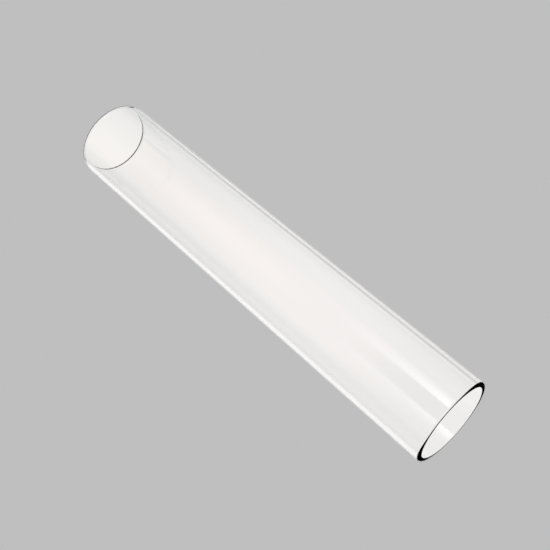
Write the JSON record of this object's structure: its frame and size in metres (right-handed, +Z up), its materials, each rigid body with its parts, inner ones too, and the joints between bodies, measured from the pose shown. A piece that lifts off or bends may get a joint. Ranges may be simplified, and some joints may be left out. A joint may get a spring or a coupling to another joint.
{
  "type": "glass tube",
  "caption": "Straight, plain, thin-walled clear glass tube, open at both ends, with fire-polished rims.",
  "frame": {"origin": "on the tube's axis, halfway along it", "axes": "+X along the tube's axis towards one end (both ends are the same), +Z up with the tube lying on its side, +Y across"},
  "size_m": [0.2, 0.036, 0.036],
  "materials": {
    "clear_glass": "polished"
  },
  "bodies": {
    "root": {"glass_tube": "clear_glass"}
  },
  "joints": []
}
